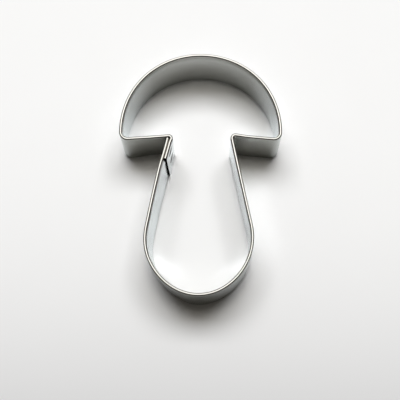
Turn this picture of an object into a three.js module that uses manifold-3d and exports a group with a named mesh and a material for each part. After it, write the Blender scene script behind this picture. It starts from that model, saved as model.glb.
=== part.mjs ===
// Mushroom-outline cookie cutter: one flat stainless strip, stood on edge, bent round and
// spot-welded to itself at a lap where the stem meets the left side of the cap.
// Millimetres, +Z up. The cutter stands on its cutting edge at z = 0, with the dome of the cap
// towards +Y. The origin is under the middle of its box.

import * as THREE from 'three';
import { mergeVertices } from 'three/addons/utils/BufferGeometryUtils.js';
import Module from 'manifold-3d';

// Strip
const STRIP_HEIGHT = 20;
const STRIP_THICKNESS = 0.8;
const EDGE_BREAK = 0.15; // chamfer along the press rim and the cutting edge

// Outline over the strip's outer faces
const OVERALL_LENGTH = 65; // top of the dome to the toe of the stem
const CAP_WIDTH = 43;
const NECK_WIDTH = 16.9; // stem where its walls would meet the gills
const FOOT_WIDTH = 28.8; // stem at its widest
const FOOT_DEPTH = 15.4; // from that widest line to the toe

// Underside of the cap, on the strip's centre line
const SKIRT_DROP = 2.1; // from the widest line of the dome down to the corner of cap and gill
const GILL_SLOPE = THREE.MathUtils.degToRad(5); // the gills rise from those corners to the stem

// Bends, on the inside of each bend
const TIP_BEND_RADIUS = 1.4; // corner of dome and gill
const NECK_BEND_RADIUS = 0.5; // right gill into the right stem wall
const LAP_BEND_RADIUS = 0.3; // left gill into the tab
const KNEE_BEND_RADIUS = 2; // where the tab comes to lie on the stem wall

// Lap: the tab lies on the inside of the left stem wall
const LAP_GAP = 0.05;
const TAB_LENGTH = 6.5; // from the gill's centre line to the cut end
const KNEE_DROP = 2; // from the gill's centre line to the knee
const TAB_SPRING = THREE.MathUtils.degToRad(9); // the tab stands off the wall above the knee
const END_CLEARANCE = 0.06; // between the gill and the upper cut end of the stem wall

// Spot welds through both layers of the lap
const WELD_DIAMETER = 2.2;
const WELD_DIMPLE = 0.08; // how far the electrodes pressed each end below the strip's face
const WELD_CLEARANCE = 0.03;
const WELD_FROM_RIM = 5; // upper weld's centre below the press rim
const WELD_PITCH = 7.5; // between the two welds' centres
const WELD_FROM_END = 3.2; // welds' centres from the tab's cut end
const WELD_SIDES = 24;

// Fineness of round stretches
const WIDE_ARC_STEP = THREE.MathUtils.degToRad(4);
const BEND_STEP = THREE.MathUtils.degToRad(15);

const wasm = await Module();
wasm.setup();

// Places on the strip's centre line
const half = STRIP_THICKNESS / 2;
const layerPitch = STRIP_THICKNESS + LAP_GAP;
const domeRadius = CAP_WIDTH / 2 - half;
const domeCentre = new THREE.Vector2(0, (OVERALL_LENGTH - CAP_WIDTH) / 2);
const footCentre = new THREE.Vector2(-layerPitch / 2, FOOT_DEPTH - OVERALL_LENGTH / 2);
const footRadii = new THREE.Vector2(FOOT_WIDTH / 2 - half, FOOT_DEPTH - half);
const capCornerRight = new THREE.Vector2(domeRadius, domeCentre.y - SKIRT_DROP);
const capCornerLeft = new THREE.Vector2(-capCornerRight.x, capCornerRight.y);
const gillLeft = new THREE.Vector2(Math.cos(GILL_SLOPE), Math.sin(GILL_SLOPE));
const neckHalf = NECK_WIDTH / 2 - half;
const neckRight = new THREE.Vector2(
  neckHalf,
  capCornerRight.y + (capCornerRight.x - neckHalf) * Math.tan(GILL_SLOPE),
);

/** Mirrors a point across the middle of the stem. */
function acrossStem(point) {
  return new THREE.Vector2(2 * footCentre.x - point.x, point.y);
}

/** Angle on the foot's ellipse at which a straight wall from a point on its right touches it. */
function touchAngle(point) {
  const squash = footRadii.x / footRadii.y;
  const across = point.x - footCentre.x;
  const up = (point.y - footCentre.y) * squash;
  return Math.atan2(up, across) - Math.acos(footRadii.x / Math.hypot(across, up));
}

/** A point at a given angle on the foot's ellipse. */
function footPoint(angle) {
  const offset = new THREE.Vector2(Math.cos(angle), Math.sin(angle)).multiply(footRadii);
  return offset.add(footCentre);
}

/** Where the line from a point along a direction crosses the left gill's centre line. */
function onLeftGill(point, direction) {
  const reach = capCornerLeft.clone().sub(point).cross(gillLeft) / direction.cross(gillLeft);
  return point.clone().addScaledVector(direction, reach);
}

const footStart = touchAngle(neckRight);
const wallFootRight = footPoint(footStart);
const wallFootLeft = acrossStem(wallFootRight);
const wallUp = acrossStem(neckRight).sub(wallFootLeft).normalize();
const wallInward = new THREE.Vector2(wallUp.y, -wallUp.x);

// The tab runs beside the left wall, one layer further in
const tabCorner = onLeftGill(wallFootLeft.clone().addScaledVector(wallInward, layerPitch), wallUp);
const tabEnd = tabCorner.clone().addScaledVector(wallUp, -TAB_LENGTH);
const knee = tabCorner.clone().addScaledVector(wallUp, -KNEE_DROP);
const lapCorner = onLeftGill(knee, wallUp.clone().rotateAround(new THREE.Vector2(), -TAB_SPRING));

// The wall's upper cut end is square, so its outer corner is the one that comes nearest the gill
const wallToGill = Math.acos(wallUp.dot(gillLeft));
const endBack = (half + END_CLEARANCE + half * Math.cos(wallToGill)) / Math.sin(wallToGill);
const wallEnd = onLeftGill(wallFootLeft, wallUp).addScaledVector(wallUp, -endBack);

/** A station of the centre line: a point and the unit normal to the left of the walk. */
function station(point, along) {
  return { point: point.clone(), normal: new THREE.Vector2(-along.y, along.x).normalize() };
}

/** Stations of an ellipse's arc walked clockwise to a lower angle, one of them halfway. */
function arcStations(centre, radii, from, to, step) {
  const count = 2 * Math.ceil((from - to) / step / 2);
  return Array.from({ length: count + 1 }, (_, i) => {
    const angle = from + ((to - from) * i) / count;
    const offset = new THREE.Vector2(Math.cos(angle) * radii.x, Math.sin(angle) * radii.y);
    const along = new THREE.Vector2(Math.sin(angle) * radii.x, -Math.cos(angle) * radii.y);
    return station(offset.add(centre), along);
  });
}

/** Stations of a bend at a corner of two straight runs, no larger than the shorter run allows. */
function bendStations(before, corner, after, insideRadius) {
  const come = corner.clone().sub(before);
  const go = after.clone().sub(corner);
  const room = Math.min(come.length(), go.length());
  const turn = Math.atan2(come.cross(go), come.dot(go));
  const setback = Math.tan(Math.abs(turn) / 2);
  const radius = Math.min(insideRadius + half, room / setback);
  come.normalize();
  const side = new THREE.Vector2(-come.y, come.x).multiplyScalar(Math.sign(turn));
  const start = corner.clone().addScaledVector(come, -radius * setback);
  const centre = start.clone().addScaledVector(side, radius);
  const count = Math.ceil(Math.abs(turn) / BEND_STEP);
  const origin = new THREE.Vector2();
  return Array.from({ length: count + 1 }, (_, i) => {
    const angle = (turn * i) / count;
    const point = start.clone().rotateAround(centre, angle);
    return station(point, come.clone().rotateAround(origin, angle));
  });
}

/** The strip's centre line from the tab's cut end, round the cap and the stem, to the wall's cut end. */
function stripStations() {
  const wide = new THREE.Vector2(domeRadius, domeRadius);
  const domeLeft = new THREE.Vector2(-domeRadius, domeCentre.y);
  const domeRight = new THREE.Vector2(domeRadius, domeCentre.y);
  return [
    station(tabEnd, wallUp),
    ...bendStations(tabEnd, knee, lapCorner, KNEE_BEND_RADIUS),
    ...bendStations(knee, lapCorner, capCornerLeft, LAP_BEND_RADIUS),
    ...bendStations(lapCorner, capCornerLeft, domeLeft, TIP_BEND_RADIUS),
    ...arcStations(domeCentre, wide, Math.PI, 0, WIDE_ARC_STEP),
    ...bendStations(domeRight, capCornerRight, neckRight, TIP_BEND_RADIUS),
    ...bendStations(capCornerRight, neckRight, wallFootRight, NECK_BEND_RADIUS),
    ...arcStations(footCentre, footRadii, footStart, -Math.PI - footStart, WIDE_ARC_STEP),
    station(wallEnd, wallUp),
  ];
}

/** Closed plan outline of the strip: half its thickness to each side of the centre line. */
function stripOutline() {
  const stations = stripStations();
  const face = (offset) => stations.map((s) => s.point.clone().addScaledVector(s.normal, offset));
  return new THREE.Shape([...face(half), ...face(-half).reverse()]);
}

/** A closed geometry as a solid that can be joined and cut. */
function toSolid(geometry) {
  const bare = geometry.clone();
  bare.deleteAttribute('normal');
  bare.deleteAttribute('uv');
  const merged = mergeVertices(bare);
  return new wasm.Manifold(new wasm.Mesh({
    numProp: 3,
    vertProperties: merged.attributes.position.array,
    triVerts: Uint32Array.from(merged.index.array),
  }));
}

/** A solid as a geometry again. */
function toGeometry(solid) {
  const mesh = solid.getMesh();
  const geometry = new THREE.BufferGeometry();
  geometry.setAttribute('position', new THREE.BufferAttribute(mesh.vertProperties, 3));
  geometry.setIndex(new THREE.BufferAttribute(mesh.triVerts, 1));
  geometry.computeVertexNormals();
  return geometry;
}

// The welds sit between the layers of the lap, square to them
const weldPlace = tabEnd.clone()
  .addScaledVector(wallUp, WELD_FROM_END)
  .addScaledVector(wallInward, -layerPitch / 2);
const lapThickness = layerPitch + STRIP_THICKNESS;
const weldHeights = {
  spot_weld_upper: STRIP_HEIGHT - WELD_FROM_RIM,
  spot_weld_lower: STRIP_HEIGHT - WELD_FROM_RIM - WELD_PITCH,
};

/** A round bar across the lap at a given height. */
function acrossLap(radius, length, height) {
  const bar = new THREE.CylinderGeometry(radius, radius, length, WELD_SIDES);
  const facing = new THREE.Vector3(wallInward.x, wallInward.y, 0);
  const turn = new THREE.Quaternion().setFromUnitVectors(new THREE.Vector3(0, 1, 0), facing);
  return bar.applyQuaternion(turn).translate(weldPlace.x, weldPlace.y, height);
}

/** The bent strip, with its edges broken and a seat cut through the lap for each weld. */
function stripGeometry() {
  const band = new THREE.ExtrudeGeometry(stripOutline(), {
    depth: STRIP_HEIGHT - 2 * EDGE_BREAK,
    bevelEnabled: true,
    bevelThickness: EDGE_BREAK,
    bevelSize: EDGE_BREAK,
    bevelOffset: -EDGE_BREAK,
    bevelSegments: 1,
  });
  band.translate(0, 0, EDGE_BREAK);
  const seatRadius = WELD_DIAMETER / 2 + WELD_CLEARANCE;
  const seatLength = lapThickness + layerPitch;
  const cut = Object.values(weldHeights).reduce(
    (solid, height) => solid.subtract(toSolid(acrossLap(seatRadius, seatLength, height))),
    toSolid(band),
  );
  return toGeometry(cut);
}

const brushedSteel = { color: 0xc6c8ca, roughness: 0.32, metalness: 1 };
const weldedSteel = { color: 0x8f8c86, roughness: 0.5, metalness: 1 };

const cutter = new THREE.Group();

const strip = new THREE.Mesh(stripGeometry(), new THREE.MeshStandardMaterial(brushedSteel));
strip.name = 'cutter_strip';
cutter.add(strip);

for (const [name, height] of Object.entries(weldHeights)) {
  const button = acrossLap(WELD_DIAMETER / 2, lapThickness - 2 * WELD_DIMPLE, height);
  const weld = new THREE.Mesh(button, new THREE.MeshStandardMaterial(weldedSteel));
  weld.name = name;
  cutter.add(weld);
}

export default cutter;
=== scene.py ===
"""Looks of a mushroom-outline cookie cutter: a satin steel strip stood on edge, bent round and
closed by a spot-welded lap, on a plain pale floor.

Plan points are complex numbers, x + iy, in metres: a unit number is a direction, and multiplying by
1j turns a direction a quarter turn to the left.
"""

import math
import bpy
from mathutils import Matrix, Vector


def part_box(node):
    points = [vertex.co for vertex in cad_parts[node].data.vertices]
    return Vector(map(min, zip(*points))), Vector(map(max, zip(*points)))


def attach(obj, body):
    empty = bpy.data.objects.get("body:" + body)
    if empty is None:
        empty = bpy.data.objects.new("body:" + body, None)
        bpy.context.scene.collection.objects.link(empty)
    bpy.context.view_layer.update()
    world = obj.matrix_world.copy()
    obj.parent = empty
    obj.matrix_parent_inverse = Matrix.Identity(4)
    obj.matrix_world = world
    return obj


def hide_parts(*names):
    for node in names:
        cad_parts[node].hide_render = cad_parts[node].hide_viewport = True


bl_info = {
    "name": "Bent-strip Cookie Cutter",
    "version": (1, 0, 0),
    "blender": (4, 5, 0),
    "location": "3D View > Sidebar > Cutter",
    "description": "Makes a bent-strip cookie cutter, its spot welds and a plain stage",
    "category": "Add Mesh",
}

from typing import NamedTuple

import bpy
import numpy as np
from bpy.props import FloatProperty, FloatVectorProperty, PointerProperty
from bpy.types import Operator, Panel, PropertyGroup
from mathutils import Matrix

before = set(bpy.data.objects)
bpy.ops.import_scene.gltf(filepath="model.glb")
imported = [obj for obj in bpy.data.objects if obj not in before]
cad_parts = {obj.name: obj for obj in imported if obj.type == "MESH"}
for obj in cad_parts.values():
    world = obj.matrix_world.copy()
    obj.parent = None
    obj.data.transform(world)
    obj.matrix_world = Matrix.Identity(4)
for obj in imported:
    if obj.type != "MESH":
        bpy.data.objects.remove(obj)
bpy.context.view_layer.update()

BODY = "root"
STRIP_NODE = "cutter_strip"
WELD_NODES = ("spot_weld_upper", "spot_weld_lower")

MM = 0.001
STRIP_LOW, STRIP_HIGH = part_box(STRIP_NODE)
STRIP_HEIGHT = STRIP_HIGH.z - STRIP_LOW.z
DOME_MIDDLE = 1j * (STRIP_HIGH.y - STRIP_HIGH.x)

# Fineness of the surfaces
DOME_POINTS = 161
FOOT_POINTS = 141
BEND_POINTS = 15
STRAIGHT_STEP = 0.3 * MM
EDGE_POINTS = 7
FACE_LEVELS = 21
WELD_LEVELS = 13
WELD_RINGS = 12
WELD_SIDES = 64
SHARP_ANGLE = math.radians(50)
SAME_PLACE = 1e-9
LEVEL_DIGITS = 7

# Hand bending: starts and ends of its smooth steps, leftwards from the middle of the cutter
LEFT_SIDE = 2 * MM, 7 * MM
CAP_TIP = 13 * MM, 20 * MM

# The same, backwards from the left neck
WALL_TOP = -14 * MM, -2 * MM
NECK_FOOT = -10 * MM, -2 * MM
GILL_FOOT = -5 * MM, -1 * MM
CAP_FOOT = 1 * MM, 6 * MM

# Hand bending: bell-shaped moves, and how far behind the toe the middle of the flanks lies
NECK_LIFT_SPREAD = 2.5 * MM
BOW_DROP = 24 * MM
BOW_SPREAD = 5 * MM
FLANK_MIDDLE = 15 * MM

# Pinch of the lap: its reach along the tab and the wall, and its smooth steps below the rim
PINCH_TAB_DROP = 4 * MM
PINCH_WALL_REACH = 10 * MM
PINCH_TAB_DEPTH = 0.1 * MM, 1.4 * MM
PINCH_WALL_DEPTH = 0.1 * MM, 3.5 * MM

# Electrode marks, and the close rows of points across them, as shares of a weld's radius
RING_REACH = 1.15
RING_SPREAD = 0.15
HEAT_REACH = 1.3
ROWS_REACH = 1.4

# Places on the strip that its finish follows, among them the band under the rim that gets a painted
# shade
RIM_BAND = 2.8 * MM
CAP_DROP = 2 * MM
CREVICE_STOP = 1 * MM

# How much facing back counts on the inside of the outline, for the painted highlight on corners that
# face back
INSIDE_BACK_SHARE = 0.4

# How bright the faces are painted, a painted sheen that stands in for light: smooth steps for faces
# that look to the side, and shares
SHEEN_STEM = 0.75, 1
SHEEN_DOME = 0, 0.9
DOME_TOP_SHARE = 0.5
GILL_SHARE = 0.6
CAP_OUTSIDE_SHARE = 0.4
LEFT_OUTSIDE_SHARE = 0.25

# Patterns: a noise's scales per metre and detail, a bump's strength and height in metres, and how
# far a pattern changes a colour or a roughness
GRAIN_NOISE = (150, 9000, 9000), 4
GRAIN_BUMP = 0.3, 2e-6
GRAIN_SHADE = 0.2
SMUDGE_NOISE = (90, 140, 140), 3
SMUDGE_SWING = 0.05
HEAT_SHADE = 0.3
TEAR_NOISE = (100, 3000, 900), 4
TEAR_BUMP = 0.5, 2e-5
TEAR_SHADE = 2
TEAR_SWING = 0.1
MOTTLE_NOISE = (2500, 2500, 2500), 4
MOTTLE_SHADE = 0.75
MOTTLE_SWING = 0.1
ELECTRODE_WAVES = 4e4
ELECTRODE_BUMP = 0.3, 4e-6
CARD_NOISE = (60, 60, 60), 3
CARD_SHADE = 0.98
CARD_ROUGHNESS = 0.9
CARD_SHINE = 0.2

# Where the slit edge's corner, painted dark as painted shade, is whole, and where its bright middle
# starts
CORNER_WHOLE = 0.3
MIDDLE_START = 0.993

# Where the floor's painted shade, which stands for light falling off to the front, starts and is
# darkest, and where the sky starts and ends its blend
FLOOR_FADE = 40 * MM, -65 * MM
SKY_FADE = 0.05, 0.75


def length(label, words, default):
    """A size property in metres."""
    return FloatProperty(name=label, description=words, default=default, precision=5, unit="LENGTH")


def angle(label, words, degrees):
    """An angle property, its default given in degrees."""
    return FloatProperty(
        name=label, description=words, default=math.radians(degrees), precision=2, unit="ROTATION"
    )


def power(label, words, default):
    """A light's power in watts."""
    return FloatProperty(name=label, description=words, default=default, unit="POWER")


def share(label, words, default):
    """A property from 0 to 1."""
    return FloatProperty(
        name=label, description=words, default=default, min=0, max=1, subtype="FACTOR"
    )


def color(label, words, default):
    """A colour property in linear light."""
    return FloatVectorProperty(
        name=label, description=words, default=default, min=0, max=1, subtype="COLOR"
    )


class StripSizes(PropertyGroup):
    """Sizes of the bent strip. Widths are over its outer faces, and bends are inside radii."""

    thickness: length("Thickness", "Thickness of the strip", 0.8 * MM)
    edge_radius: length("Edge radius", "Rounding along the press rim and cutting edge", 0.33 * MM)
    neck_width: length("Neck width", "Stem where its walls would meet the gills", 16.9 * MM)
    foot_width: length("Foot width", "Stem at its widest", 28.8 * MM)
    foot_depth: length("Foot depth", "From the stem's widest line to the toe", 15.4 * MM)
    skirt_drop: length("Skirt drop", "From the dome's widest line to the cap's corner", 2.1 * MM)
    gill_slope: angle("Gill slope", "Rise of the gills from the corners to the stem", 5)
    tip_bend: length("Tip bend", "Bend from the dome into a gill", 1.4 * MM)
    neck_bend: length("Neck bend", "Bend from the right gill into the stem wall", 0.5 * MM)


class LapSizes(PropertyGroup):
    """Sizes of the lap, where a tab off the left gill lies on the inside of the left stem wall."""

    gap: length("Gap", "Between the tab and the stem wall", 0.05 * MM)
    bend: length("Bend", "Inside radius from the left gill into the tab", 0.3 * MM)
    knee_bend: length("Knee bend", "Inside radius where the tab meets the wall", 2 * MM)
    tab_length: length("Tab length", "From the gill's centre line to the cut end", 6.5 * MM)
    knee_drop: length("Knee drop", "From the gill's centre line to the knee", 2 * MM)
    tab_spring: angle("Tab spring", "How the tab stands off the wall above the knee", 9)
    end_clearance: length("End clearance", "Between the gill and the wall's cut end", 0.06 * MM)
    pinch: length("Pinch", "How much thinner the welding pressed the lap below its rim", 0.42 * MM)


class BendingSlack(PropertyGroup):
    """How far the hand bending left the strip out of true."""

    wall_lean: length("Wall lean", "Left stem wall's foot, further in than its rim", 0.8 * MM)
    gill_lean: length("Gill lean", "Left gill's foot, further back than its rim", 0.6 * MM)
    neck_push: length("Neck push", "Left neck corner, pushed in towards the stem", 0.33 * MM)
    neck_lift: length("Neck lift", "Right neck corner, pushed towards the dome", 0.2 * MM)
    wall_bow: length("Wall bow", "Left stem wall, pushed in above the foot's bend", 0.18 * MM)
    shoulder_push: length("Shoulder push", "Dome's shoulders, pushed out", 0.18 * MM)
    flank_push: length("Flank push", "Foot's lower flanks, pushed in", 0.15 * MM)
    gill_push: length("Gill push", "Left gill, pushed towards the toe", 0.12 * MM)


class WeldSizes(PropertyGroup):
    """Sizes of the marks that the welding electrodes pressed into the lap."""

    dish_depth: length("Dish depth", "Depth of the dish in the strip's face", 0.1 * MM)
    ring_height: length("Ring height", "Height of the ring pushed up round the dish", 0.03 * MM)
    stand_out: length("Stand out", "Weld metal above the floor of the dish", 0.02 * MM)


class SteelFinish(PropertyGroup):
    """Colours and roughness of the steel."""

    face_color: color("Face", "Rolled faces of the strip", (0.385, 0.378, 0.338))
    # Painted sheen: faces that look to the side, and the places the shares give, are painted this
    # brighter colour in place of light; the mirror below follows the same share
    sheen_color: color("Rubbed face", "Faces of the sides, rubbed bright", (0.83, 0.84, 0.825))
    graze_color: color("Grazing tint", "Rolled faces seen along them", (0.94, 0.975, 1))
    face_roughness: share("Face roughness", "Rolled faces of the strip", 0.18)
    mirror_color: color("Mirror", "What rubbed faces throw on the floor", (0.9, 0.925, 0.935))
    mirror_share: share("Mirror share", "How much of a rubbed face mirrors to the floor", 0.8)
    mirror_spread: share("Mirror spread", "Mirror's cone, as a share of a right angle", 0.07)
    # Painted shade: the slit edges' rounded corners are painted dark with a dark grazing tint, and
    # painted with the edge colour where they face back, a painted highlight
    corner_color: color("Corner", "Rounded corners of the slit edges", (0.1, 0.083, 0.07))
    corner_graze: color("Corner grazing tint", "Corners seen along them", (0.1, 0.09, 0.075))
    corner_roughness: share("Corner roughness", "Rounded corners of the slit edges", 0.2)
    # Painted shade: the groove colour darkens the corners in the channel between the lap's layers
    groove_color: color("Groove", "Corners that face each other in the lap", (0.5, 0.47, 0.42))
    edge_color: color("Edge", "Slit edges of the strip", (0.69, 0.682, 0.645))
    edge_roughness: share("Edge roughness", "Flat middles of the slit edges", 0.65)
    # Painted shade: the sheared ends are painted near black, with a dark grazing tint
    cut_color: color("Cut end", "Sheared ends of the strip", (0.012, 0.012, 0.012))
    cut_graze: color("Cut end grazing tint", "Sheared ends seen along them", (0.15, 0.15, 0.15))
    cut_roughness: share("Cut end roughness", "Sheared ends of the strip", 0.6)
    # Painted shade: the faces that the lap's layers turn to each other are painted dark
    crevice_color: color("Crevice", "Grime between the layers of the lap", (0.03, 0.028, 0.025))
    weld_color: color("Weld", "Spot welds", (0.2, 0.191, 0.177))
    weld_graze: color("Weld grazing tint", "Spot welds seen along them", (0.08, 0.08, 0.08))
    weld_roughness: share("Weld roughness", "Spot welds", 0.5)


class StageSettings(PropertyGroup):
    """Floor, light and camera."""

    floor_color: color("Floor", "Pale matt floor", (0.92, 0.92, 0.925))
    # Painted shade: the floor is painted darker towards the front
    front_floor_shade: color("Floor in front", "Floor far in front of the cutter", (0.67, 0.67, 0.68))
    floor_size: length("Floor size", "Side of the square floor", 3)
    light_right: angle("Light right", "Soft lights, to the right from the upright", 0.2)
    light_height: length("Light height", "Height of the soft lights above the floor", 1.2)
    key_power: power("Key power", "Power of the wide soft light behind", 14.25)
    key_color: color("Key colour", "Colour of the wide soft light", (0.985, 0.993, 1))
    key_width: length("Key width", "Width of the wide soft light behind", 0.88)
    key_depth: length("Key depth", "Front to back of the wide soft light behind", 0.41)
    key_back: angle("Key back", "Wide soft light behind, back from the upright", 19.5)
    top_power: power("Top power", "Power of the small soft light overhead", 2.6)
    top_color: color("Top colour", "Colour of the small soft light", (1, 0.965, 0.88))
    top_width: length("Top width", "Width of the small soft light overhead", 0.18)
    top_depth: length("Top depth", "Front to back of the small soft light overhead", 0.2)
    top_back: angle("Top back", "Small soft light overhead, back from the upright", 6.8)
    sky_front: color("Sky in front", "Surroundings on the stem's side", (0.07, 0.065, 0.056))
    sky_back: color("Sky behind", "Surroundings on the dome's side", (0.12, 0.12, 0.12))
    lens: FloatProperty(name="Lens", description="Focal length in millimetres", default=99)
    camera_place: FloatVectorProperty(
        name="Camera place",
        description="Where the camera stands",
        default=(2.418 * MM, -66.068 * MM, 299.865 * MM),
        subtype="TRANSLATION",
        unit="LENGTH",
    )
    camera_tilt: angle("Camera tilt", "Camera's line of sight from straight down", 11.835)
    camera_roll: angle("Camera roll", "Camera turned about its line of sight", -2.1955)
    camera_turn: angle("Camera turn", "Camera turned about the upright", 2.4196)


class Walk(NamedTuple):
    """The strip's centre line as stations: plan points, headings and the length walked so far."""

    points: np.ndarray
    headings: np.ndarray
    walked: np.ndarray


class Outline(NamedTuple):
    """The centre line and the places on it that other pieces need."""

    walk: Walk
    tab_end: complex
    wall_end: complex
    wall_up: complex
    neck: complex


class Weld(NamedTuple):
    """A spot weld's place in plan, its height and its radius."""

    place: complex
    height: float
    radius: float


def cross(a, b):
    """Cross product of two plan directions."""
    return (a.conjugate() * b).imag


def ramp(value, start, end):
    """Smooth step: 0 up to start, 1 from end on, and 3t squared less 2t cubed between."""
    t = np.clip((value - start) / (end - start), 0, 1)
    return t * t * (3 - 2 * t)


def bell(distance, spread):
    """Bell curve: the exponential of minus the squared share of the spread."""
    return np.exp(-((distance / spread) ** 2))


def arc_run(centre, radii, start, end, count):
    """Ellipse walked clockwise: centre plus the radii times cosine and sine of a falling angle."""
    turn = np.linspace(start, end, count)
    points = centre + radii.real * np.cos(turn) + 1j * radii.imag * np.sin(turn)
    headings = radii.real * np.sin(turn) - 1j * radii.imag * np.cos(turn)
    return points, headings / abs(headings)


def bend_run(before, corner, after, radius):
    """Circular bend that touches two straight runs: its start turned about its centre."""
    come = corner - before
    go = after - corner
    turn = np.angle(go / come)
    come /= abs(come)
    start = corner - come * radius * math.tan(abs(turn) / 2)
    centre = start + 1j * np.sign(turn) * come * radius
    turned = np.exp(1j * np.linspace(0, turn, BEND_POINTS))
    return centre + (start - centre) * turned, come * turned


def joined(runs):
    """One walk through the runs in order, with evenly spaced stations on the straights between."""
    points, headings = [runs[0][0]], [runs[0][1]]
    for run_points, run_headings in runs[1:]:
        gap = run_points[0] - points[-1][-1]
        steps = max(math.ceil(abs(gap) / STRAIGHT_STEP), 1)
        points.append(points[-1][-1] + gap * np.arange(1, steps) / steps)
        headings.append(np.full(steps - 1, run_headings[0]))
        points.append(run_points)
        headings.append(run_headings)
    points = np.concatenate(points)
    headings = np.concatenate(headings)
    fresh = np.append(True, abs(np.diff(points)) > SAME_PLACE)
    points, headings = points[fresh], headings[fresh]
    walked = np.append(0, np.cumsum(abs(np.diff(points))))
    return Walk(points, headings, walked)


def cutter_outline(strip, lap):
    """Centre line of the strip: tab, left gill, dome, right gill, right wall, foot and left wall.

    The dome is a half circle and the foot most of an ellipse. The right wall is the straight line
    from the neck that touches the ellipse, the left wall is its mirror across the stem, and the tab
    runs beside the left wall, one layer further in.
    """
    half = strip.thickness / 2
    layer_pitch = strip.thickness + lap.gap
    dome_radius = STRIP_HIGH.x - half
    foot_centre = complex(-layer_pitch / 2, STRIP_LOW.y + strip.foot_depth)
    foot_radii = complex(strip.foot_width / 2 - half, strip.foot_depth - half)

    tip_right = complex(dome_radius, DOME_MIDDLE.imag - strip.skirt_drop)
    tip_left = -tip_right.conjugate()
    gill = complex(math.cos(strip.gill_slope), math.sin(strip.gill_slope))
    neck_half = strip.neck_width / 2 - half
    neck = tip_right - (dome_radius - neck_half) * gill.conjugate() / gill.real

    def across_stem(point):
        """A point's mirror image across the middle of the stem."""
        return 2 * foot_centre.real - point.conjugate()

    def on_left_gill(point, direction):
        """Where a line from a point meets the left gill's, by a ratio of cross products."""
        return point + direction * cross(tip_left - point, gill) / cross(direction, gill)

    squash = foot_radii.real / foot_radii.imag
    from_foot = neck - foot_centre
    squashed = complex(from_foot.real, from_foot.imag * squash)
    touch = np.angle(squashed) - math.acos(foot_radii.real / abs(squashed))
    foot = arc_run(foot_centre, foot_radii, touch, -math.pi - touch, FOOT_POINTS)

    wall_foot = across_stem(foot[0][0])
    wall_up = across_stem(neck) - wall_foot
    wall_up /= abs(wall_up)
    wall_to_gill = np.angle(wall_up / gill)
    end_back = (half + lap.end_clearance + half * math.cos(wall_to_gill)) / math.sin(wall_to_gill)
    wall_end = on_left_gill(wall_foot, wall_up) - wall_up * end_back

    tab_corner = on_left_gill(wall_foot - 1j * wall_up * layer_pitch, wall_up)
    tab_end = tab_corner - wall_up * lap.tab_length
    knee = tab_corner - wall_up * lap.knee_drop
    lap_corner = on_left_gill(knee, wall_up * np.exp(-1j * lap.tab_spring))

    dome_radii = complex(dome_radius, dome_radius)
    walk = joined([
        (np.array([tab_end]), np.array([wall_up])),
        bend_run(tab_end, knee, lap_corner, lap.knee_bend + half),
        bend_run(knee, lap_corner, tip_left, lap.bend + half),
        bend_run(lap_corner, tip_left, DOME_MIDDLE - dome_radius, strip.tip_bend + half),
        arc_run(DOME_MIDDLE, dome_radii, math.pi, 0, DOME_POINTS),
        bend_run(DOME_MIDDLE + dome_radius, tip_right, neck, strip.tip_bend + half),
        bend_run(tip_right, neck, foot[0][0], strip.neck_bend + half),
        foot,
        (np.array([wall_end]), np.array([wall_up])),
    ])
    return Outline(walk, tab_end, wall_end, wall_up, across_stem(neck))


def diagonal_push(place):
    """Direction away from a middle, times the squared sine of twice its angle."""
    turn = np.angle(place)
    return np.sin(2 * turn) ** 2 * np.exp(1j * turn)


def hand_bent(plan, up, slack, neck):
    """Plan points moved by what the hand bending left out of true.

    The foot of the left wall and gill moves further than the rim, in proportion to how far below the
    rim a point is, and smooth steps fade the moves out towards the toe, the cap's tip and the dome.
    The wall's bow and the right neck's lift are bell-shaped. The dome's shoulders move out, and the
    foot's lower flanks in, by a push that is greatest on the diagonals.
    """
    lowness = 1 - up / STRIP_HEIGHT
    past_neck = plan.imag - neck.imag
    left = ramp(-plan.real, *LEFT_SIDE)
    off_tip = 1 - ramp(-plan.real, *CAP_TIP)
    by_wall = 1 - ramp(past_neck, *WALL_TOP)
    by_neck = ramp(past_neck, *NECK_FOOT)
    by_gill = ramp(past_neck, *GILL_FOOT)
    below_cap = 1 - ramp(past_neck, *CAP_FOOT)

    lean = slack.wall_lean * lowness * by_wall
    inward = left * below_cap * (lean + slack.neck_push * by_neck * off_tip)
    inward += left * slack.wall_bow * bell(past_neck + BOW_DROP, BOW_SPREAD)
    back = left * off_tip * (slack.gill_lean * lowness - slack.gill_push)
    back += slack.neck_lift * bell(plan.real + neck.real, NECK_LIFT_SPREAD)
    back *= below_cap * by_gill

    from_dome = plan - DOME_MIDDLE
    from_foot = plan - 1j * (STRIP_LOW.y + FLANK_MIDDLE)
    out = np.where(from_dome.imag > 0, slack.shoulder_push * diagonal_push(from_dome), 0)
    squeeze = np.where(from_foot.imag < 0, slack.flank_push * diagonal_push(from_foot), 0)
    return plan + inward + 1j * back + out - squeeze


def weld_of(node):
    """Place, height and radius of a spot weld, from its solid's box."""
    low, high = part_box(node)
    centre = (low + high) / 2
    return Weld(complex(centre.x, centre.y), centre.z, (high.z - low.z) / 2)


def dish(reach, radius, sizes):
    """Depth of an electrode's mark at a distance from its middle.

    Inside the radius it is the dish depth times the square of 1 less the squared share of the
    radius, and a bell-shaped ring stands up just outside it.
    """
    rim = reach / radius
    ring = sizes.ring_height * bell(rim - RING_REACH, RING_SPREAD)
    return sizes.dish_depth * np.clip(1 - rim**2, 0, None) ** 2 - ring


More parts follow.
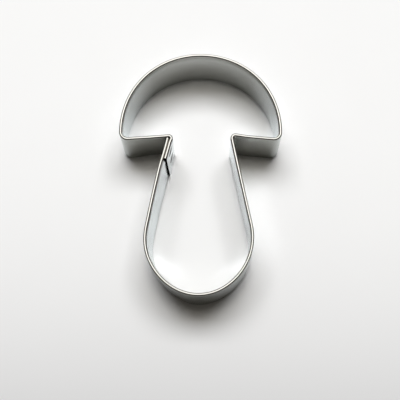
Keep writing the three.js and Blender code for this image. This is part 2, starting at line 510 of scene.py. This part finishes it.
def weld_dishes(outline, offset, up, welds, sizes):
    """Offsets from the centre line with the dishes pressed in, and each point's share of heat.

    A weld's dishes lie on the tab's inner face and on the wall's outer face. Its heat is the
    exponential of minus the fourth power of the distance's share of the heated radius.
    """
    walked = outline.walk.walked[:, None]
    offsets = np.broadcast_to(offset, (walked.size, offset.size)).copy()
    heat = np.zeros_like(offsets)
    for weld in welds:
        on_tab = ((weld.place - outline.tab_end) / outline.wall_up).real
        on_wall = walked[-1] + ((weld.place - outline.wall_end) / outline.wall_up).real
        for middle, side in ((on_tab, -1), (on_wall, 1)):
            reach = np.hypot(walked - middle, up - weld.height)
            on_face = offset == side * offset.max()
            offsets -= np.where(on_face, side * dish(reach, weld.radius, sizes), 0)
            heat = np.maximum(heat, np.exp(-((reach / (HEAT_REACH * weld.radius)) ** 4)))
    return offsets, heat


def pressed_lap(offsets, up, walked, strip, lap):
    """Offsets from the centre line after the welding pressed the lap's layers into each other.

    The tab's half next to the wall gets thinner by a share, and the wall moves in by as much.
    Smooth steps take both up below the rim, and others fade them out at the knee and along the wall.
    """
    depth = STRIP_HEIGHT - up
    knee = lap.tab_length - lap.knee_drop
    on_tab = 1 - ramp(walked, lap.tab_length - PINCH_TAB_DROP, knee)[:, None]
    thinned = 2 * lap.pinch / strip.thickness * on_tab * ramp(depth, *PINCH_TAB_DEPTH)
    by_lap = walked[-1] - lap.tab_length
    on_wall = ramp(walked, by_lap - PINCH_WALL_REACH, by_lap)[:, None]
    dent = lap.pinch * on_wall * ramp(depth, *PINCH_WALL_DEPTH)
    return offsets * np.where(offsets > 0, 1 - thinned, 1) - dent


def half_section(thickness, radius, levels):
    """Half of the strip's section, out and up, from the cutting edge's flat to the rim's flat.

    A quarter circle leads to the face, which climbs through the levels, and a second quarter circle
    leads over to the rim. The other half is its mirror.
    """
    turn = np.linspace(0, math.pi / 2, EDGE_POINTS)
    flat = thickness / 2 - radius
    face = np.full(levels.size, thickness / 2)
    out = np.concatenate([flat + radius * np.sin(turn), face, flat + radius * np.cos(turn)])
    low_corner = radius * (1 - np.cos(turn))
    high_corner = STRIP_HEIGHT - radius * (1 - np.sin(turn))
    return out, np.concatenate([low_corner, levels, high_corner])


def face_levels(radius, welds):
    """Heights of the face's rows: evenly spread, and closer together across each weld."""
    even = np.linspace(radius, STRIP_HEIGHT - radius, FACE_LEVELS + 2)[1:-1]
    across = np.linspace(-ROWS_REACH, ROWS_REACH, WELD_LEVELS)
    close = [weld.height + weld.radius * across for weld in welds]
    return np.unique(np.concatenate([even, *close]).round(LEVEL_DIGITS))


def tube_faces(stations, ring):
    """Quads round a section carried along stations, and a ladder of quads over each of its ends."""
    beside = np.roll(np.arange(ring), -1)
    starts = np.arange(stations - 1)[:, None] * ring
    here, there = starts + np.arange(ring), starts + beside
    sides = np.stack([here, there, there + ring, here + ring], axis=-1).reshape(-1, 4)
    rung = np.arange(ring // 2 - 1)
    ladder = np.stack([rung, ring - 1 - rung, ring - 2 - rung, rung + 1], axis=-1)
    return sides, np.concatenate([ladder, ladder[:, ::-1] + (stations - 1) * ring])


def to_points(plan, up):
    """Plan points and heights as rows of x, y and z."""
    return np.stack([plan.real, plan.imag, np.broadcast_to(up, plan.shape)], axis=-1).reshape(-1, 3)


def add_piece(name, points, faces, materials):
    """A smooth mesh object at the origin, with creases only where faces meet at a sharp angle."""
    mesh = bpy.data.meshes.new(name)
    mesh.from_pydata(points, [], faces)
    mesh.shade_smooth()
    mesh.set_sharp_from_angle(angle=SHARP_ANGLE)
    for material in materials:
        mesh.materials.append(material)
    piece = bpy.data.objects.new(name, mesh)
    bpy.context.scene.collection.objects.link(piece)
    return piece


def add_attribute(piece, name, kind, field, values):
    """A value at each vertex that the piece's material reads by name."""
    attribute = piece.data.attributes.new(name, kind, "POINT")
    attribute.data.foreach_set(field, np.ascontiguousarray(values, dtype=np.float32).ravel())


def sheen_share(walk, offset, neck):
    """How far each face's colour is painted brighter, a painted sheen, from 0 to 1.

    The share grows, by a smooth step, with the square of how far a face looks to the side. It has a
    floor on the dome and on the insides of the gills, in proportion to how far they look back or to
    the front, and the outsides of the cap and of the left stem wall have only a part of it.
    """
    along = walk.headings.real
    sideways = walk.headings.imag**2
    by_cap = walk.points.imag > neck.imag - CAP_DROP
    sheen = np.where(along < 0, ramp(sideways, *SHEEN_STEM), ramp(sideways, *SHEEN_DOME))
    sheen = np.maximum(sheen, DOME_TOP_SHARE * np.clip(along, 0, 1))
    inside = np.maximum(sheen, GILL_SHARE * by_cap * np.clip(-along, 0, 1))
    stem_outside = np.where(walk.headings.imag > 0, LEFT_OUTSIDE_SHARE, 1)
    outside = sheen * np.where(by_cap, CAP_OUTSIDE_SHARE, stem_outside)
    return np.where(offset > 0, outside[:, None], inside[:, None])


def inside_lap(walked, offset, lap):
    """Which points lie on the faces that the two layers of the lap turn to each other."""
    on_tab = walked < lap.tab_length - CREVICE_STOP
    on_wall = walked > walked[-1] - lap.tab_length + STRAIGHT_STEP
    return (on_tab[:, None] & (offset > 0)) | (on_wall[:, None] & (offset < 0))


def bend_strip(scene):
    """The strip: a rounded section carried along the centre line, dished where it was welded."""
    strip, lap = scene.cutter_strip, scene.cutter_lap
    outline = cutter_outline(strip, lap)
    walk = outline.walk
    welds = [weld_of(node) for node in WELD_NODES]
    levels = face_levels(strip.edge_radius, welds)
    out, rise = half_section(strip.thickness, strip.edge_radius, levels)
    offset = np.concatenate([out, -out[::-1]])
    up = np.concatenate([rise, rise[::-1]])
    offsets, heat = weld_dishes(outline, offset, up, welds, scene.cutter_welds)
    offsets = pressed_lap(offsets, up, walk.walked, strip, lap)
    plan = walk.points[:, None] + 1j * walk.headings[:, None] * offsets
    plan = hand_bent(plan, up, scene.cutter_slack, outline.neck)

    sides, ends = tube_faces(*offsets.shape)
    faces = np.concatenate([sides, ends])
    piece = add_piece("cutter_strip_formed", to_points(plan, up), faces.tolist(), [
        rolled_steel(scene.cutter_steel),
        sheared_steel(scene.cutter_steel),
    ])
    piece.data.polygons.foreach_set("material_index", np.repeat([0, 1], [len(sides), len(ends)]))

    flat_place = np.stack(np.broadcast_arrays(walk.walked[:, None], offset, up), axis=-1)
    add_attribute(piece, "flat_place", "FLOAT_VECTOR", "vector", flat_place)
    depth = STRIP_HEIGHT - up
    edge = 1 - ramp(np.minimum(up, depth), 0, strip.edge_radius)
    back_share = np.where(offset > 0, 1, -INSIDE_BACK_SHARE)
    marks = {
        "slit_edge": edge,
        # Painted shade: a dark grazing tint on the band under the rim
        "by_rim": np.where(offset < 0, 1 - ramp(depth, strip.edge_radius, RIM_BAND), 0),
        # Painted highlight on corners that face back
        "faces_back": np.clip(walk.headings.real[:, None] * back_share, 0, 1),
        "weld_heat": heat,
        # Share of painted sheen on each face
        "sheen": sheen_share(walk, offset, outline.neck),
        # Painted shade between the layers of the lap
        "crevice": inside_lap(walk.walked, offset, lap) & (edge < 1),
    }
    for name, values in marks.items():
        add_attribute(piece, name, "FLOAT", "value", np.broadcast_to(values, offsets.shape))
    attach(piece, BODY)
    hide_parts(STRIP_NODE)


def press_weld(scene, node, material):
    """A weld: a lathed button across the lap, whose ends lie just above the floors of the dishes.

    An end's height over the strip's face is the stand-out, less twice it times the fourth power of
    the share of the radius, less the depth of the dish, so that its border dips under the face. Its
    outermost ring is level with the one inside it.
    """
    strip, lap, marks = scene.cutter_strip, scene.cutter_lap, scene.cutter_welds
    outline = cutter_outline(strip, lap)
    weld = weld_of(node)
    face = strip.thickness + lap.gap / 2
    rim = np.linspace(0, 1, WELD_RINGS + 1)
    stand_out = marks.stand_out * (1 - 2 * rim**4)
    end = face + stand_out - dish(rim * weld.radius, weld.radius, marks)
    end[-1] = end[-2]
    spread = np.concatenate([rim[1:], rim[:0:-1]]) * weld.radius
    across = np.concatenate([end[1:], lap.pinch - end[:0:-1]])
    turn = np.linspace(0, 2 * math.pi, WELD_SIDES, endpoint=False)
    along = spread[:, None] * np.cos(turn)
    up = weld.height + spread[:, None] * np.sin(turn)
    plan = weld.place + outline.wall_up * (along - 1j * across[:, None])
    poles = weld.place - 1j * outline.wall_up * np.array([end[0], lap.pinch - end[0]])
    plan = np.concatenate([plan.ravel(), poles])
    up = np.concatenate([up.ravel(), np.full(2, weld.height)])
    plan = hand_bent(plan, up, scene.cutter_slack, outline.neck)

    faces = lathe_faces(len(spread), WELD_SIDES)
    piece = add_piece(node + "_pressed", to_points(plan, up), faces, [material])
    reach = np.append(np.repeat(spread, WELD_SIDES), [0, 0])
    add_attribute(piece, "weld_reach", "FLOAT", "value", reach)
    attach(piece, BODY)
    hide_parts(node)


def lathe_faces(rings, sides):
    """Quads between the rings of a lathed shape, and a fan from each pole to its nearest ring."""
    side = np.arange(sides)
    beside = np.roll(side, -1)
    starts = np.arange(rings - 1)[:, None] * sides
    quads = np.stack(
        [starts + side, starts + sides + side, starts + sides + beside, starts + beside], axis=-1
    ).reshape(-1, 4)
    last = (rings - 1) * sides
    front = np.stack([np.full(sides, rings * sides), side, beside], axis=-1)
    back = np.stack([np.full(sides, rings * sides + 1), last + beside, last + side], axis=-1)
    return quads.tolist() + front.tolist() + back.tolist()


def new_material(name):
    """A material with its node tree and its shader."""
    material = bpy.data.materials.new(name)
    material.use_nodes = True
    tree = material.node_tree
    return material, tree, tree.nodes["Principled BSDF"]


def add_node(tree, kind, inputs, **settings):
    """A node with its settings, and its inputs set or linked to other nodes' outputs."""
    node = tree.nodes.new(kind)
    for key, value in settings.items():
        setattr(node, key, value)
    fill(tree, node, inputs)
    return node


def fill(tree, node, inputs):
    """Sets a node's inputs to values, or links them to other nodes' outputs."""
    for key, value in inputs.items():
        if isinstance(value, bpy.types.NodeSocket):
            tree.links.new(value, node.inputs[key])
        else:
            node.inputs[key].default_value = value


def attribute_of(tree, name, output):
    """A mesh attribute's output."""
    return add_node(tree, "ShaderNodeAttribute", {}, attribute_name=name).outputs[output]


def noise(tree, place, scales, detail):
    """Noise from 0 to 1 at a place, stretched by a scale along each axis."""
    stretched = add_node(
        tree, "ShaderNodeVectorMath", {0: place, 1: scales}, operation="MULTIPLY"
    )
    return add_node(
        tree, "ShaderNodeTexNoise", {"Vector": stretched.outputs[0], "Scale": 1, "Detail": detail}
    ).outputs["Fac"]


def remap(tree, value, low, high):
    """A value from 0 to 1 spread from low to high."""
    return add_node(
        tree, "ShaderNodeMapRange", {"Value": value, "To Min": low, "To Max": high}
    ).outputs["Result"]


def window(tree, value, low, high):
    """A value's share of the way from low to high, from 0 to 1."""
    return add_node(
        tree, "ShaderNodeMapRange", {"Value": value, "From Min": low, "From Max": high}
    ).outputs["Result"]


def blend_values(tree, factor, a, b):
    """A value between two, by a factor."""
    return add_node(tree, "ShaderNodeMix", {0: factor, 2: a, 3: b}).outputs[0]


def blend_colors(tree, factor, a, b):
    """A colour between two, by a factor."""
    colors = [x if isinstance(x, bpy.types.NodeSocket) else (*x, 1) for x in (a, b)]
    return add_node(
        tree, "ShaderNodeMix", {0: factor, 6: colors[0], 7: colors[1]}, data_type="RGBA"
    ).outputs[2]


def shade(tint, factor):
    """A colour times a factor."""
    return [factor * part for part in tint]


def swing(tree, value, middle, reach):
    """A value from 0 to 1 spread about a middle."""
    return remap(tree, value, middle - reach, middle + reach)


def arithmetic(tree, operation, *values):
    """What an operation makes of one or two values."""
    return add_node(
        tree, "ShaderNodeMath", dict(enumerate(values)), operation=operation
    ).outputs[0]


def bump(tree, height, strength, distance):
    """A normal that shows a height pattern, as tall as the distance."""
    return add_node(
        tree, "ShaderNodeBump", {"Height": height, "Strength": strength, "Distance": distance}
    ).outputs["Normal"]


def add_floor_mirror(tree, shader, finish, clean):
    """Mixes a mirror into a shader by the share that is clean, for rays that the floor sends out.

    The renderer blurs away the light that satin steel throws on the floor, and the mirror brings it
    back. All other rays meet the plain shader.
    """
    mirror = add_node(
        tree,
        "ShaderNodeBsdfToon",
        {"Color": (*finish.mirror_color, 1), "Size": finish.mirror_spread, "Smooth": 0},
        component="GLOSSY",
    )
    from_floor = add_node(tree, "ShaderNodeLightPath", {}).outputs["Is Diffuse Ray"]
    surface = add_node(tree, "ShaderNodeMixShader", {
        0: blend_values(tree, from_floor, 0, clean),
        1: shader.outputs[0],
        2: mirror.outputs[0],
    })
    fill(tree, tree.nodes["Material Output"], {"Surface": surface.outputs[0]})


def rolled_steel(finish):
    """Satin strip: a fine grain along its length, soft smudges, matt slit edges and weld heat.

    Its faces are painted brighter where they look to the side, a painted sheen, and throw light on
    the floor there. The corners of the slit edges are painted dark, a painted shade, and painted
    light where they face back, a painted highlight. The faces that the lap's layers turn to each
    other are painted dark, a painted shade, and a band under the rim gets a dark grazing tint, a
    painted shade seen along the face.
    """
    material, tree, shader = new_material("rolled_steel")
    place = attribute_of(tree, "flat_place", "Vector")
    edge = attribute_of(tree, "slit_edge", "Fac")
    by_rim = attribute_of(tree, "by_rim", "Fac")
    faces_back = attribute_of(tree, "faces_back", "Fac")
    heat = attribute_of(tree, "weld_heat", "Fac")
    sheen = attribute_of(tree, "sheen", "Fac")
    crevice = attribute_of(tree, "crevice", "Fac")
    grain = noise(tree, place, *GRAIN_NOISE)
    smudge = noise(tree, place, *SMUDGE_NOISE)
    corner = window(tree, edge, 0, CORNER_WHOLE)
    middle = window(tree, edge, MIDDLE_START, 1)
    dark_along = arithmetic(tree, "MAXIMUM", corner, by_rim)

    # Painted sheen: faces are painted brighter by the sheen share
    face = blend_colors(tree, sheen, finish.face_color, finish.sheen_color)
    face = blend_colors(tree, remap(tree, grain, 0, GRAIN_SHADE), face, (0, 0, 0))
    face = blend_colors(tree, heat, face, shade(finish.face_color, HEAT_SHADE))
    # Painted shade between the lap's layers
    face = blend_colors(tree, crevice, face, finish.crevice_color)
    # Painted shade on the corners, and painted highlight where they face back
    painted_corner = blend_colors(tree, faces_back, finish.corner_color, finish.edge_color)
    painted_corner = blend_colors(tree, crevice, painted_corner, finish.groove_color)
    face = blend_colors(tree, corner, face, painted_corner)

    # Painted shade: the corners and the band under the rim get a dark grazing tint
    graze = blend_colors(tree, heat, finish.graze_color, finish.weld_graze)
    graze = blend_colors(tree, dark_along, graze, finish.corner_graze)

    satin = swing(tree, smudge, finish.face_roughness, SMUDGE_SWING)
    satin = blend_values(tree, heat, satin, finish.weld_roughness)
    dull = blend_values(tree, faces_back, finish.corner_roughness, finish.edge_roughness)
    dull = blend_values(tree, crevice, dull, finish.edge_roughness)
    satin = blend_values(tree, corner, satin, dull)

    fill(tree, shader, {
        "Metallic": 1,
        "Specular Tint": blend_colors(tree, middle, graze, finish.graze_color),
        "Base Color": blend_colors(tree, middle, face, finish.edge_color),
        "Roughness": blend_values(tree, middle, satin, finish.edge_roughness),
        "Normal": bump(tree, grain, *GRAIN_BUMP),
    })
    clean = remap(tree, sheen, 0, finish.mirror_share)
    for mark in (dark_along, heat, crevice):
        clean = blend_values(tree, mark, clean, 0)
    add_floor_mirror(tree, shader, finish, clean)
    return material


def sheared_steel(finish):
    """Sheared ends, torn across the thickness, painted near black: a painted shade."""
    material, tree, shader = new_material("sheared_steel")
    place = attribute_of(tree, "flat_place", "Vector")
    tear = noise(tree, place, *TEAR_NOISE)
    torn = shade(finish.cut_color, TEAR_SHADE)
    fill(tree, shader, {
        "Metallic": 1,
        "Specular Tint": (*finish.cut_graze, 1),
        "Base Color": blend_colors(tree, tear, finish.cut_color, torn),
        "Roughness": swing(tree, tear, finish.cut_roughness, TEAR_SWING),
        "Normal": bump(tree, tear, *TEAR_BUMP),
    })
    return material


def pressed_weld(finish):
    """Dull pressed weld, with faint rings left by the electrode's face."""
    material, tree, shader = new_material("pressed_weld")
    place = add_node(tree, "ShaderNodeTexCoord", {}).outputs["Object"]
    reach = attribute_of(tree, "weld_reach", "Fac")
    rings = arithmetic(tree, "SINE", arithmetic(tree, "MULTIPLY", reach, ELECTRODE_WAVES))
    mottle = noise(tree, place, *MOTTLE_NOISE)
    dim = shade(finish.weld_color, MOTTLE_SHADE)
    fill(tree, shader, {
        "Metallic": 1,
        "Specular Tint": (*finish.weld_graze, 1),
        "Base Color": blend_colors(tree, mottle, dim, finish.weld_color),
        "Roughness": swing(tree, mottle, finish.weld_roughness, MOTTLE_SWING),
        "Normal": bump(tree, rings, *ELECTRODE_BUMP),
    })
    return material


def pale_floor(stage):
    """Matt pale card, faintly mottled, painted darker with the cube of the way to the front: a
    painted shade for light falling off.
    """
    material, tree, shader = new_material("pale_floor")
    place = add_node(tree, "ShaderNodeTexCoord", {}).outputs["Object"]
    mottle = noise(tree, place, *CARD_NOISE)
    dim = shade(stage.floor_color, CARD_SHADE)
    pale = blend_colors(tree, mottle, dim, stage.floor_color)
    forward = add_node(tree, "ShaderNodeSeparateXYZ", {0: place}).outputs["Y"]
    cubed = arithmetic(tree, "POWER", window(tree, forward, *FLOOR_FADE), 3)
    fill(tree, shader, {
        "Base Color": blend_colors(tree, cubed, pale, stage.front_floor_shade),
        "Roughness": CARD_ROUGHNESS,
        "Specular IOR Level": CARD_SHINE,
    })
    return material


def lay_floor(stage):
    """The floor: a flat square under the cutter."""
    half = stage.floor_size / 2
    corners = np.array([[-half, -half, 0], [half, -half, 0], [half, half, 0], [-half, half, 0]])
    floor = add_piece("floor", corners, [[0, 1, 2, 3]], [pale_floor(stage)])


def hang_light(name, watts, tint, width, depth, back, right, height):
    """A soft rectangular light above the cutter, back and right from the upright, facing it."""
    light = bpy.data.lights.new(name, "AREA")
    light.energy = watts
    light.color = tint
    light.shape = "RECTANGLE"
    light.size = width
    light.size_y = depth
    lamp = bpy.data.objects.new(name, light)
    lamp.location = (height * math.tan(right), height * math.tan(back), height)
    lamp.rotation_euler = lamp.location.to_track_quat("Z", "Y").to_euler()
    bpy.context.scene.collection.objects.link(lamp)


def hang_lights(stage):
    """A wide soft light above and behind the cutter, and a small one nearly overhead."""
    key = stage.key_power, stage.key_color, stage.key_width, stage.key_depth, stage.key_back
    top = stage.top_power, stage.top_color, stage.top_width, stage.top_depth, stage.top_back
    hang_light("key_light", *key, stage.light_right, stage.light_height)
    hang_light("top_light", *top, stage.light_right, stage.light_height)


def paint_sky(scene, stage):
    """Dim surroundings, lighter on the dome's side: a colour blend by how far a ray points back."""
    world = bpy.data.worlds.new("studio")
    world.use_nodes = True
    tree = world.node_tree
    place = add_node(tree, "ShaderNodeTexCoord", {}).outputs["Generated"]
    back = add_node(tree, "ShaderNodeSeparateXYZ", {0: place}).outputs["Y"]
    share_back = add_node(
        tree,
        "ShaderNodeMapRange",
        {"Value": back, "From Min": SKY_FADE[0], "From Max": SKY_FADE[1]},
        interpolation_type="SMOOTHSTEP",
    ).outputs["Result"]
    sky = blend_colors(tree, share_back, stage.sky_front, stage.sky_back)
    fill(tree, tree.nodes["Background"], {"Color": sky, "Strength": 1})
    scene.world = world


def place_camera(scene, stage):
    """The camera, looking steeply down: tilted from straight down, rolled, then turned."""
    data = bpy.data.cameras.new("camera")
    data.lens = stage.lens
    camera = bpy.data.objects.new("camera", data)
    turned = Matrix.Rotation(stage.camera_turn, 4, "Z")
    tilted = Matrix.Rotation(stage.camera_tilt, 4, "X")
    rolled = Matrix.Rotation(stage.camera_roll, 4, "Z")
    camera.matrix_world = Matrix.Translation(stage.camera_place) @ turned @ tilted @ rolled
    scene.collection.objects.link(camera)
    scene.camera = camera


class CUTTER_OT_bend_strip(Operator):
    """Bend the strip into the cutter's outline"""

    bl_idname = "cutter.bend_strip"
    bl_label = "Bend Strip"

    def execute(self, context):
        bend_strip(context.scene)
        return {"FINISHED"}


class CUTTER_OT_press_welds(Operator):
    """Press the spot welds that close the lap"""

    bl_idname = "cutter.press_welds"
    bl_label = "Press Welds"

    def execute(self, context):
        material = pressed_weld(context.scene.cutter_steel)
        for node in WELD_NODES:
            press_weld(context.scene, node, material)
        return {"FINISHED"}


class CUTTER_OT_set_stage(Operator):
    """Lay the floor, hang the lights and place the camera"""

    bl_idname = "cutter.set_stage"
    bl_label = "Set Stage"

    def execute(self, context):
        scene = context.scene
        stage = scene.cutter_stage
        lay_floor(stage)
        hang_lights(stage)
        paint_sky(scene, stage)
        place_camera(scene, stage)
        scene.view_settings.view_transform = "Standard"
        return {"FINISHED"}


class CUTTER_PT_sidebar(Panel):
    """The cutter's operators and sizes"""

    bl_idname = "CUTTER_PT_sidebar"
    bl_label = "Cookie Cutter"
    bl_space_type = "VIEW_3D"
    bl_region_type = "UI"
    bl_category = "Cutter"

    def draw(self, context):
        for operator in OPERATORS:
            self.layout.operator(operator.bl_idname)
        for name, group in GROUPS.items():
            box = self.layout.box()
            for size in group.__annotations__:
                box.prop(getattr(context.scene, name), size)


GROUPS = {
    "cutter_strip": StripSizes,
    "cutter_lap": LapSizes,
    "cutter_slack": BendingSlack,
    "cutter_welds": WeldSizes,
    "cutter_steel": SteelFinish,
    "cutter_stage": StageSettings,
}
OPERATORS = (CUTTER_OT_bend_strip, CUTTER_OT_press_welds, CUTTER_OT_set_stage)


def register():
    for cls in (*GROUPS.values(), *OPERATORS, CUTTER_PT_sidebar):
        bpy.utils.register_class(cls)
    for name, group in GROUPS.items():
        setattr(bpy.types.Scene, name, PointerProperty(type=group))


def unregister():
    for name in GROUPS:
        delattr(bpy.types.Scene, name)
    for cls in (CUTTER_PT_sidebar, *OPERATORS, *GROUPS.values()):
        bpy.utils.unregister_class(cls)


def main():
    register()
    bpy.ops.cutter.bend_strip()
    bpy.ops.cutter.press_welds()
    bpy.ops.cutter.set_stage()


if __name__ == "__main__":
    main()
